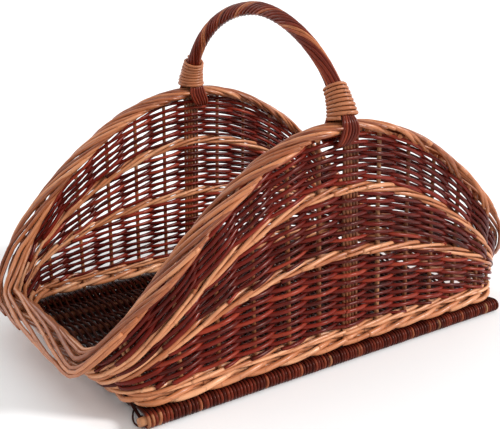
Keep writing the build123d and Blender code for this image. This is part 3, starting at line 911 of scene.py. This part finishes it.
def arch(angle):
    """Points of the bow over the border; angle runs from 0 at the front to pi at the back."""
    front = angle < math.pi / 2
    fullness = np.where(front, FRONT_FULLNESS, BACK_FULLNESS)
    reach = np.where(front, BOW_Y + BOW_LEAN, BOW_Y - BOW_LEAN)
    y = BOW_LEAN - np.sign(np.cos(angle)) * reach * np.abs(np.cos(angle)) ** fullness
    z = RIM_MIDDLE_Z + BOW_RISE * np.abs(np.sin(angle)) ** fullness
    return np.stack([np.zeros(len(angle)), y, z], axis=1)


def turned(points):
    """The handle stands a little turned, and a little to the left of the middle."""
    c = math.cos(BOW_TURN)
    s = math.sin(BOW_TURN)
    x, y, z = np.asarray(points, float).T
    return np.stack([c * x - s * y + BOW_SHIFT, s * x + c * y, z], axis=1)


bow = even_steps(arch(np.linspace(0, math.pi, 400)), 240)
bow_length = float(np.linalg.norm(np.diff(bow, axis=0), axis=1).sum())
bow_along = np.gradient(bow, axis=0)
bow_along /= np.linalg.norm(bow_along, axis=1)[:, None]
bow_across = np.tile([1.0, 0.0, 0.0], (len(bow), 1))
bow_normal = np.cross(bow_across, bow_along)
bow_walked = np.linspace(0, bow_length, len(bow))
print("bow over the border is", round(bow_length, 3), "m long")

# %% The rods inside the bow, and the liners beside them
bow_rods = Bundle("handle_bow_rods", sides=10)
near_line = side_line(0)
far_line = [(-x, -y, z) for x, y, z in near_line]
for place in (-1, 0, 1):
    legs = [[near_line[0], near_line[1]], turned(bow)[4:-4], [far_line[1], far_line[0]]]
    whole = even_steps(np.concatenate(legs), 260)
    whole[:, 0] += place * 0.0046
    bow_rods.rod(whole, 0.0022, (1, 0, 0.02), tint=dice.uniform(0.0, 0.45), knots=0.03)
bow_rods.make(brown, "stake_willow", "handle_bow_rods")
for name in ("front", "back"):
    liner = Bundle("handle_liners_" + name)
    for shift in (-0.0094, 0.0094):
        upright(liner, WALL_START[name] + SIDE_BAYS / 2, 0.0021, shift=shift,
                tint=dice.uniform(0.1, 0.5))
    liner.make(brown, "stake_willow", "handle_liners_" + name)

# %% [markdown]
# ### The roping
# Each rod of the roping is a helix round the bow.  Near the feet the twist stops, so the angle
# isn't simply the distance times a number: it's the sum of a twist rate that fades out at both
# ends.

# %% Twelve rods twisted round the bow
ROPING_COUNT = 12
ROPING_PITCH = 0.097
CORE = 0.0068
BINDING_START = 0.010
BINDING_LENGTH = 0.036

fade = np.clip((bow_walked - 0.03) / 0.15, 0.08, 1)
fade = fade * np.clip((bow_length - bow_walked - 0.03) / 0.06, 0.08, 1)
twist = np.cumsum(fade) * (bow_walked[1] / ROPING_PITCH) * 2 * math.pi
twist -= twist[len(twist) // 2]
foot_swell = np.clip(1 - (np.minimum(bow_walked, bow_length - bow_walked) - 0.012) / 0.05, 0, 1)
core = CORE + 0.0032 * foot_swell ** 1.5
roping = Bundle("handle_roping", sides=10)
inside_binding = (bow_walked > 0.014) & (bow_walked < bow_length - 0.014)
pale_rods = {3: 1.0, 4: 0.93, 9: 0.9}
for strand in range(ROPING_COUNT):
    angle = twist + 2 * math.pi * strand / ROPING_COUNT + 0.05 * wander(bow_walked, 0.15)
    ring = bow_across * np.cos(angle)[:, None] + bow_normal * np.sin(angle)[:, None]
    line = bow + ring * core[:, None]
    tint = pale_rods.get(strand, dice.uniform(0.05, 0.8))
    roping.rod(turned(line[inside_binding]), ROPING_ROD * dice.uniform(0.95, 1.06),
               ring[inside_binding], tint=tint, knots=0.04)
roping.make(handle_dark, "handle_willow", "handle_roping")


# %% The bindings: a thin rod wound eight times round each foot
BINDING_TURNS = 8.2
BINDING_RADIUS = 0.0122
BINDING_SWELL = 0.0046       # how much wider it is at its lower end


def binding(name, back):
    """Makes one binding, from the foot of the bow upwards."""
    share = np.linspace(0, 1, 300)
    distance = BINDING_START + share * BINDING_LENGTH
    place = bow_length - distance if back else distance
    centre = np.stack([np.interp(place, bow_walked, bow[:, i]) for i in range(3)], axis=1)
    normal = np.stack([np.interp(place, bow_walked, bow_normal[:, i]) for i in range(3)], axis=1)
    angle = 2 * math.pi * BINDING_TURNS * share + (0.6 if back else 2.4)
    radius = BINDING_RADIUS + BINDING_SWELL * (1 - share) ** 1.5
    radius = radius + 0.0003 * wander(share * 0.5, 0.07)
    ring = np.array([1.0, 0, 0]) * np.cos(angle)[:, None] + normal * np.sin(angle)[:, None]
    wrap = Bundle("handle_binding_" + name, sides=10)
    wrap.rod(turned(centre + ring * radius[:, None]), BINDING_ROD, ring, tint=0.5,
             taper=0.2, knots=0.05)
    wrap.make(binding_buff, "binding_willow", "handle_binding_" + name)


binding("front", False)
binding("back", True)


# %% [markdown]
# ### The tails
# Below the binding the rods of the roping part.  Half of them go down over the outer edge of the
# border and half over the inner edge.  They fan out as they cross it and close up again as they
# are pulled in under it.

# %% Rod ends laid over the border
TAIL_COUNT = 6
TAIL_ROUTE = [               # out of the border's middle line, up from it, and the fan's width
    (0.0060, 0.020, 0.009), (0.0100, 0.013, 0.0135), (0.0138, 0.007, 0.018),
    (0.0158, -0.001, 0.0215), (0.0160, -0.009, 0.0215), (0.0138, -0.0155, 0.018),
    (0.0095, -0.0185, 0.013), (0.0050, -0.0190, 0.010),
]


def tails(name, side, way):
    """side is -1 at the front foot, way is 1 for the outer edge of the border."""
    piece_name = "handle_tails_" + ("outer_" if way > 0 else "inner_") + name
    ends = Bundle(piece_name, sides=10)
    for rod in range(TAIL_COUNT):
        fan = (rod - (TAIL_COUNT - 1) / 2) / (TAIL_COUNT - 1)
        points = []
        for out, up, width in TAIL_ROUTE:
            sweep = 0.009 * min(1.0, max(0.0, -up / 0.019)) ** 1.5
            out += 0.0008 * math.cos(math.pi * fan)
            points.append((fan * width + side * (sweep + 0.002), side * (BOW_Y + way * out),
                           RIM_MIDDLE_Z + up))
        line = smooth(points, 48)
        ends.rod(turned(line), ROPING_ROD * dice.uniform(0.92, 1.05), (1, 0, 0.01),
                 tint=dice.uniform(0.1, 0.9), taper=0.1, knots=0.03)
    ends.make(handle_dark, "handle_willow", piece_name)


for name, side in (("front", -1), ("back", 1)):
    for way in (1, -1):
        tails(name, side, way)

# %% [markdown]
# ## Floor, light and camera
# The basket stands on a plain pale floor under a plain pale sky, which fills the shadows.  The key
# lamp stands high in front and draws a highlight along each rod, and a weak lamp behind keeps the
# inside of the far wall from going dull.

# %% Floor and light
floor_mesh = bpy.data.meshes.new("floor")
floor_build = bmesh.new()
bmesh.ops.create_grid(floor_build, x_segments=1, y_segments=1, size=40.0)
floor_build.to_mesh(floor_mesh)
floor_build.free()
floor = bpy.data.objects.new("floor", floor_mesh)
bpy.context.scene.collection.objects.link(floor)
floor_paint = bpy.data.materials.new("floor_paint")
floor_paint.use_nodes = True
paint_surface = floor_paint.node_tree.nodes["Principled BSDF"]
paint_surface.inputs["Base Color"].default_value = (0.93, 0.93, 0.93, 1)
paint_surface.inputs["Roughness"].default_value = 0.9
floor_mesh.materials.append(floor_paint)

world = bpy.data.worlds.new("studio")
bpy.context.scene.world = world
world.use_nodes = True
sky = world.node_tree.nodes["Background"]
sky.inputs["Color"].default_value = (1, 1, 1, 1)
sky.inputs["Strength"].default_value = 0.85


def lamp(name, place, target, kind, power, **settings):
    """A lamp at a place, pointed at a target."""
    light = bpy.data.lights.new(name, kind)
    light.energy = power
    for setting, value in settings.items():
        setattr(light, setting, value)
    holder = bpy.data.objects.new(name, light)
    bpy.context.scene.collection.objects.link(holder)
    holder.location = place
    holder.rotation_euler = (Vector(target) - Vector(place)).to_track_quat("-Z", "Y").to_euler()


lamp("key_lamp", (1.7, -1.7, 1.5), (0, 0, 0.15), "SUN", 2.8, angle=math.radians(13))
lamp("back_lamp", (-0.6, 2.4, 1.8), (0, 0, 0.15), "SUN", 0.5, angle=math.radians(30))

# %% The camera
scene = bpy.context.scene
camera = bpy.data.objects.new("camera", bpy.data.cameras.new("camera"))
scene.collection.objects.link(camera)
azimuth, elevation, distance = math.radians(-34.84), math.radians(16.73), 1.0931
target = Vector((0, 0, 0.1392))
back = Vector((math.sin(azimuth) * math.cos(elevation), -math.cos(azimuth) * math.cos(elevation),
               math.sin(elevation)))
camera.location = target + back * distance
camera.rotation_euler = back.to_track_quat("Z", "Y").to_euler()
camera.data.sensor_width = 36.0
camera.data.lens = 59.4
camera.data.shift_x = -0.0224
scene.camera = camera
scene.view_settings.view_transform = "Standard"
print("camera at", [round(v, 3) for v in camera.location])
